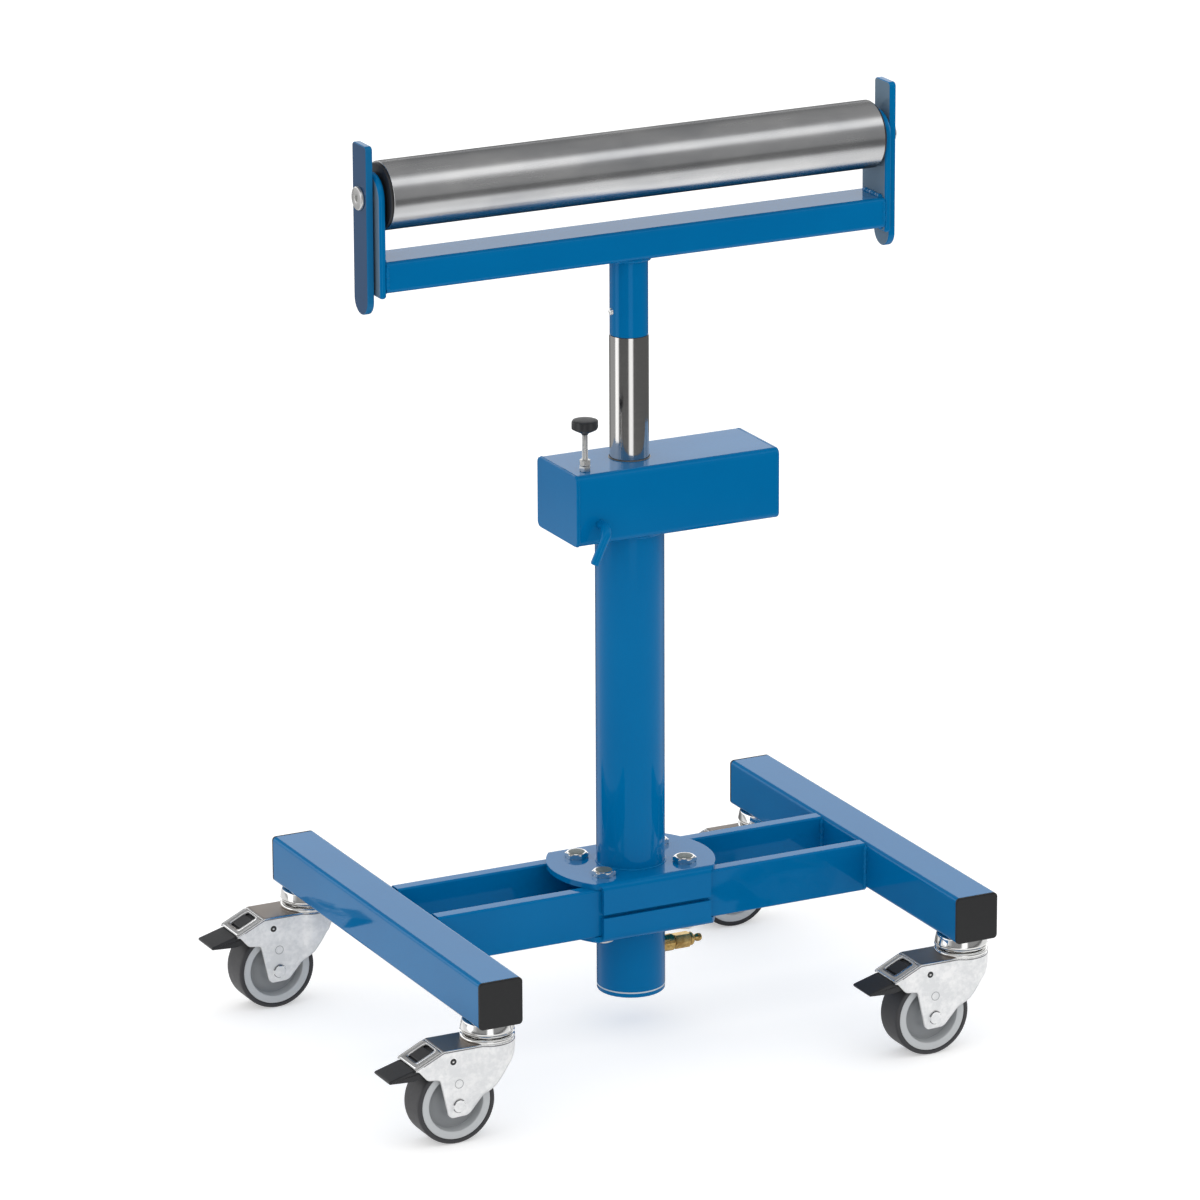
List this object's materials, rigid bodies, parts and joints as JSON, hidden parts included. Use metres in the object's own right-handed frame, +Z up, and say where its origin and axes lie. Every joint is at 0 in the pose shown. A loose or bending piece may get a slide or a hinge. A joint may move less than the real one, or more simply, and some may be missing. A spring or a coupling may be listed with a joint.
{
  "type": "roller stand",
  "caption": "Height-adjustable roller stand: a roller head on a ram tube that slides in a column, with a lock box and a wheeled H base.",
  "frame": {"origin": "on the floor under the middle of the object's box; the column stands 40.4 mm to the right of it because the casters trail to the left", "axes": "+Z up, X along the roller, -Y the front; the wheels stand on Z = 0"},
  "size_m": [0.6478, 0.47, 0.9135],
  "materials": {
    "blue_paint": "gloss",
    "black_plastic": "satin",
    "black_rubber": "matte",
    "zinc": "satin",
    "galvanised": "satin",
    "polished_steel": "polished",
    "plain_steel": "satin",
    "brass": "satin",
    "rim_plastic": "satin",
    "tyre_rubber": "matte"
  },
  "bodies": {
    "base": {"left_beam": "blue_paint", "right_beam": "blue_paint", "beam_end_caps": "black_plastic", "front_rail": "blue_paint", "rear_rail": "blue_paint", "hub_top_plate": "blue_paint", "hub_bottom_plate": "blue_paint", "hub_bolts": "zinc", "hub_nuts": "zinc", "column_tube": "blue_paint", "column_foot": "blue_paint", "air_adapter": "brass", "air_plug": "brass", "lock_box": "blue_paint", "lock_box_ends": "blue_paint", "tube_wiper": "black_rubber", "guide_bush": "plain_steel", "brake_pivot_pin": "plain_steel", "brake_spring": "plain_steel", "lock_nuts": "zinc", "caster_races": "zinc", "caster_nuts": "zinc"},
    "ram": {"ram_tube": "polished_steel", "ram_plug": "plain_steel", "ram_piston": "plain_steel", "piston_seal": "black_rubber", "head_stem": "blue_paint", "stem_screw": "zinc", "crossbar": "blue_paint", "left_lug": "blue_paint", "right_lug": "blue_paint", "roller_axle": "plain_steel", "guide_spacers": "zinc", "pivot_bolts": "zinc"},
    "left_guide": {"left_guide_plate": "blue_paint"},
    "right_guide": {"right_guide_plate": "blue_paint"},
    "roller": {"roller_tube": "galvanised", "roller_end_caps": "black_plastic", "roller_bearings": "plain_steel"},
    "brake": {"brake_plate": "plain_steel"},
    "lever": {"release_lever": "blue_paint"},
    "knob": {"adjusting_stud": "zinc", "star_knob": "black_plastic"},
    "front_left_swivel": {"front_left_fork": "zinc"},
    "front_left_wheel": {"front_left_rim": "rim_plastic", "front_left_tyre": "tyre_rubber"},
    "front_left_brake": {"front_left_pedal": "black_plastic"},
    "front_right_swivel": {"front_right_fork": "zinc"},
    "front_right_wheel": {"front_right_rim": "rim_plastic", "front_right_tyre": "tyre_rubber"},
    "front_right_brake": {"front_right_pedal": "black_plastic"},
    "rear_left_swivel": {"rear_left_fork": "zinc"},
    "rear_left_wheel": {"rear_left_rim": "rim_plastic", "rear_left_tyre": "tyre_rubber"},
    "rear_left_brake": {"rear_left_pedal": "black_plastic"},
    "rear_right_swivel": {"rear_right_fork": "zinc"},
    "rear_right_wheel": {"rear_right_rim": "rim_plastic", "rear_right_tyre": "tyre_rubber"},
    "rear_right_brake": {"rear_right_pedal": "black_plastic"}
  },
  "joints": [
    {"name": "ram_lift", "type": "slide", "parent": "base", "child": "ram", "axis": [0, 0, 1], "range_m": [-0.1, 0.2]},
    {"name": "left_guide_turn", "type": "hinge", "parent": "ram", "child": "left_guide", "pos_m": [-0.2361, 0, 0.862], "axis": [1, 0, 0], "continuous": true},
    {"name": "right_guide_turn", "type": "hinge", "parent": "ram", "child": "right_guide", "pos_m": [0.3169, 0, 0.862], "axis": [1, 0, 0], "continuous": true},
    {"name": "roller_spin", "type": "hinge", "parent": "ram", "child": "roller", "pos_m": [0.0404, 0, 0.862], "axis": [1, 0, 0], "continuous": true},
    {"name": "lever_turn", "type": "hinge", "parent": "base", "child": "lever", "pos_m": [-0.0126, -0.04275, 0.5255], "axis": [0, -1, 0], "range_deg": [0, 18]},
    {"name": "brake_tilt", "type": "hinge", "parent": "base", "child": "brake", "pos_m": [0.1594, 0, 0.5385], "axis": [0, 1, 0], "range_deg": [0, 1], "stiffness_Nm_per_rad": 5, "springref_deg": -11.46, "deforming": ["brake_spring"]},
    {"name": "knob_turn", "type": "hinge", "parent": "base", "child": "knob", "pos_m": [-0.0196, -0.02525, 0.5995], "axis": [0, 0, 1], "range_deg": [-180, 180]},
    {"name": "front_left_swivel_turn", "type": "hinge", "parent": "base", "child": "front_left_swivel", "pos_m": [-0.2141, -0.204, 0.1], "axis": [0, 0, 1], "continuous": true},
    {"name": "front_left_wheel_spin", "type": "hinge", "parent": "front_left_swivel", "child": "front_left_wheel", "pos_m": [-0.2541, -0.204, 0.04], "axis": [0, 1, 0], "continuous": true},
    {"name": "front_left_pedal_press", "type": "hinge", "parent": "front_left_swivel", "child": "front_left_brake", "pos_m": [-0.2585, -0.204, 0.0842], "axis": [0, -1, 0], "range_deg": [0, 8]},
    {"name": "front_right_swivel_turn", "type": "hinge", "parent": "base", "child": "front_right_swivel", "pos_m": [0.2949, -0.204, 0.1], "axis": [0, 0, 1], "continuous": true},
    {"name": "front_right_wheel_spin", "type": "hinge", "parent": "front_right_swivel", "child": "front_right_wheel", "pos_m": [0.2549, -0.204, 0.04], "axis": [0, 1, 0], "continuous": true},
    {"name": "front_right_pedal_press", "type": "hinge", "parent": "front_right_swivel", "child": "front_right_brake", "pos_m": [0.2505, -0.204, 0.0842], "axis": [0, -1, 0], "range_deg": [0, 8]},
    {"name": "rear_left_swivel_turn", "type": "hinge", "parent": "base", "child": "rear_left_swivel", "pos_m": [-0.2141, 0.204, 0.1], "axis": [0, 0, 1], "continuous": true},
    {"name": "rear_left_wheel_spin", "type": "hinge", "parent": "rear_left_swivel", "child": "rear_left_wheel", "pos_m": [-0.2541, 0.204, 0.04], "axis": [0, 1, 0], "continuous": true},
    {"name": "rear_left_pedal_press", "type": "hinge", "parent": "rear_left_swivel", "child": "rear_left_brake", "pos_m": [-0.2585, 0.204, 0.0842], "axis": [0, -1, 0], "range_deg": [0, 8]},
    {"name": "rear_right_swivel_turn", "type": "hinge", "parent": "base", "child": "rear_right_swivel", "pos_m": [0.2949, 0.204, 0.1], "axis": [0, 0, 1], "continuous": true},
    {"name": "rear_right_wheel_spin", "type": "hinge", "parent": "rear_right_swivel", "child": "rear_right_wheel", "pos_m": [0.2549, 0.204, 0.04], "axis": [0, 1, 0], "continuous": true},
    {"name": "rear_right_pedal_press", "type": "hinge", "parent": "rear_right_swivel", "child": "rear_right_brake", "pos_m": [0.2505, 0.204, 0.0842], "axis": [0, -1, 0], "range_deg": [0, 8]}
  ],
  "couplings": [
    {"joint": "brake_tilt", "follows": "lever_turn", "ratio": 0.055556}
  ]
}
